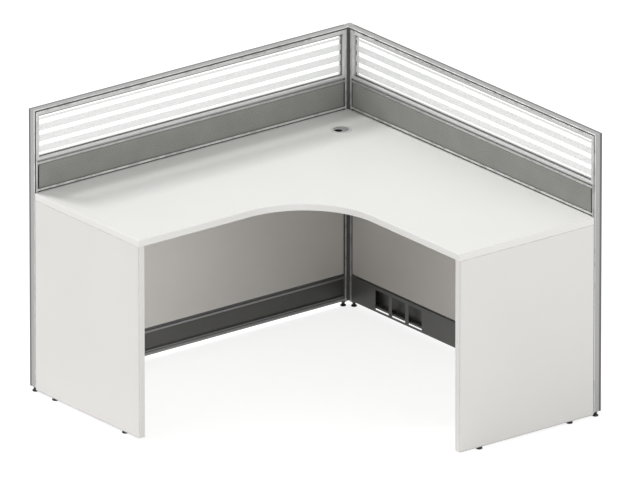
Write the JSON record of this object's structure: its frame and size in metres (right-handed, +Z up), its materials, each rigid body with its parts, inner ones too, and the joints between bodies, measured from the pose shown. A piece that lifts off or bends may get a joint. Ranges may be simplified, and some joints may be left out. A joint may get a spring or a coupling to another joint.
{
  "type": "cubicle workstation",
  "caption": "Corner workstation: an L-shaped worktop on side gables inside two framed screens with striped glass, fabric tiles and a cable raceway.",
  "frame": {"origin": "on the floor at the middle of the square plan", "axes": "+Z up; the left screen stands along X at +Y, the right screen along Y at +X; the user sits towards -X and -Y"},
  "size_m": [1.432, 1.432, 1.059],
  "materials": {
    "aluminium": "satin anodised",
    "dark_aluminium": "dark grey powder coat on aluminium",
    "glass": "clear, polished",
    "frosted_film": "frosted translucent film",
    "grey_fabric": "woven panel fabric, matte",
    "tile_laminate": "off-white melamine, matte",
    "charcoal_steel": "charcoal powder coat, fine texture",
    "white_laminate": "white melamine, matte",
    "black_plastic": "moulded, satin",
    "black_steel": "black oxide, satin",
    "gasket_rubber": "matte",
    "bracket_steel": "grey powder coat",
    "zinc_steel": "zinc plated",
    "grey_plastic": "moulded, satin"
  },
  "bodies": {
    "root": {"left_top_trim": "aluminium", "left_end_trim": "aluminium", "left_top_rail": "aluminium", "left_end_upright": "aluminium", "left_corner_upright": "aluminium", "left_glass_frame": "aluminium", "left_glass_pane": "glass", "left_frosted_bands": "frosted_film", "left_mid_rail": "aluminium", "left_desk_rail": "aluminium", "left_raceway_beam": "aluminium", "left_bottom_rail": "dark_aluminium", "left_inner_fabric_tile": "grey_fabric", "left_outer_fabric_tile": "grey_fabric", "left_inner_lower_tile": "tile_laminate", "left_outer_lower_tile": "tile_laminate", "left_gable": "white_laminate", "right_top_trim": "aluminium", "right_end_trim": "aluminium", "right_top_rail": "aluminium", "right_end_upright": "aluminium", "right_corner_upright": "aluminium", "right_glass_frame": "aluminium", "right_glass_pane": "glass", "right_frosted_bands": "frosted_film", "right_mid_rail": "aluminium", "right_desk_rail": "aluminium", "right_raceway_beam": "aluminium", "right_bottom_rail": "dark_aluminium", "right_inner_fabric_tile": "grey_fabric", "right_outer_fabric_tile": "grey_fabric", "right_inner_lower_tile": "tile_laminate", "right_outer_lower_tile": "tile_laminate", "right_gable": "white_laminate", "glass_gaskets": "gasket_rubber", "corner_post": "aluminium", "corner_cap": "aluminium", "worktop": "white_laminate", "worktop_brackets": "bracket_steel", "gable_brackets": "bracket_steel", "bracket_screws": "zinc_steel", "grommet_ring": "grey_plastic", "foot_inserts": "zinc_steel"},
    "left_inner_raceway_cover": {"left_inner_raceway_cover": "charcoal_steel"},
    "left_outer_raceway_cover": {"left_outer_raceway_cover": "charcoal_steel"},
    "left_end_foot_pad": {"left_end_foot_pad": "black_plastic"},
    "left_end_foot_stem": {"left_end_foot_stem": "black_steel"},
    "left_corner_foot_pad": {"left_corner_foot_pad": "black_plastic"},
    "left_corner_foot_stem": {"left_corner_foot_stem": "black_steel"},
    "left_front_glide": {"left_front_glide": "black_plastic"},
    "left_back_glide": {"left_back_glide": "black_plastic"},
    "right_inner_raceway_cover": {"right_inner_raceway_cover": "charcoal_steel"},
    "right_outer_raceway_cover": {"right_outer_raceway_cover": "charcoal_steel"},
    "right_end_foot_pad": {"right_end_foot_pad": "black_plastic"},
    "right_end_foot_stem": {"right_end_foot_stem": "black_steel"},
    "right_corner_foot_pad": {"right_corner_foot_pad": "black_plastic"},
    "right_corner_foot_stem": {"right_corner_foot_stem": "black_steel"},
    "right_front_glide": {"right_front_glide": "black_plastic"},
    "right_back_glide": {"right_back_glide": "black_plastic"},
    "grommet_cap": {"grommet_cap": "grey_plastic"}
  },
  "joints": [
    {"name": "left_inner_cover_pull", "type": "slide", "parent": "root", "child": "left_inner_raceway_cover", "axis": [0, -1, 0], "range_m": [0, 0.015]},
    {"name": "left_outer_cover_pull", "type": "slide", "parent": "root", "child": "left_outer_raceway_cover", "axis": [0, 1, 0], "range_m": [0, 0.015]},
    {"name": "left_end_foot_drop", "type": "slide", "parent": "root", "child": "left_end_foot_pad", "axis": [0, 0, -1], "range_m": [0, 0.015]},
    {"name": "left_end_foot_turn", "type": "hinge", "parent": "left_end_foot_pad", "child": "left_end_foot_stem", "pos_m": [-0.70425, 0.7, 0.01], "axis": [0, 0, -1], "range_deg": [0, 4320]},
    {"name": "left_corner_foot_drop", "type": "slide", "parent": "root", "child": "left_corner_foot_pad", "axis": [0, 0, -1], "range_m": [0, 0.015]},
    {"name": "left_corner_foot_turn", "type": "hinge", "parent": "left_corner_foot_pad", "child": "left_corner_foot_stem", "pos_m": [0.67225, 0.7, 0.01], "axis": [0, 0, -1], "range_deg": [0, 4320]},
    {"name": "left_front_glide_drop", "type": "slide", "parent": "root", "child": "left_front_glide", "axis": [0, 0, -1], "range_m": [0, 0.015]},
    {"name": "left_back_glide_drop", "type": "slide", "parent": "root", "child": "left_back_glide", "axis": [0, 0, -1], "range_m": [0, 0.015]},
    {"name": "right_inner_cover_pull", "type": "slide", "parent": "root", "child": "right_inner_raceway_cover", "axis": [-1, 0, 0], "range_m": [0, 0.015]},
    {"name": "right_outer_cover_pull", "type": "slide", "parent": "root", "child": "right_outer_raceway_cover", "axis": [1, 0, 0], "range_m": [0, 0.015]},
    {"name": "right_end_foot_drop", "type": "slide", "parent": "root", "child": "right_end_foot_pad", "axis": [0, 0, -1], "range_m": [0, 0.015]},
    {"name": "right_end_foot_turn", "type": "hinge", "parent": "right_end_foot_pad", "child": "right_end_foot_stem", "pos_m": [0.7, -0.70425, 0.01], "axis": [0, 0, -1], "range_deg": [0, 4320]},
    {"name": "right_corner_foot_drop", "type": "slide", "parent": "root", "child": "right_corner_foot_pad", "axis": [0, 0, -1], "range_m": [0, 0.015]},
    {"name": "right_corner_foot_turn", "type": "hinge", "parent": "right_corner_foot_pad", "child": "right_corner_foot_stem", "pos_m": [0.7, 0.67225, 0.01], "axis": [0, 0, -1], "range_deg": [0, 4320]},
    {"name": "right_front_glide_drop", "type": "slide", "parent": "root", "child": "right_front_glide", "axis": [0, 0, -1], "range_m": [0, 0.015]},
    {"name": "right_back_glide_drop", "type": "slide", "parent": "root", "child": "right_back_glide", "axis": [0, 0, -1], "range_m": [0, 0.015]},
    {"name": "grommet_cap_turn", "type": "hinge", "parent": "root", "child": "grommet_cap", "pos_m": [0.528, 0.528, 0.75], "axis": [0, 0, 1], "continuous": true}
  ],
  "couplings": [
    {"joint": "left_end_foot_turn", "follows": "left_end_foot_drop", "rad_per_m": 5026.5},
    {"joint": "left_corner_foot_turn", "follows": "left_corner_foot_drop", "rad_per_m": 5026.5},
    {"joint": "right_end_foot_turn", "follows": "right_end_foot_drop", "rad_per_m": 5026.5},
    {"joint": "right_corner_foot_turn", "follows": "right_corner_foot_drop", "rad_per_m": 5026.5}
  ]
}
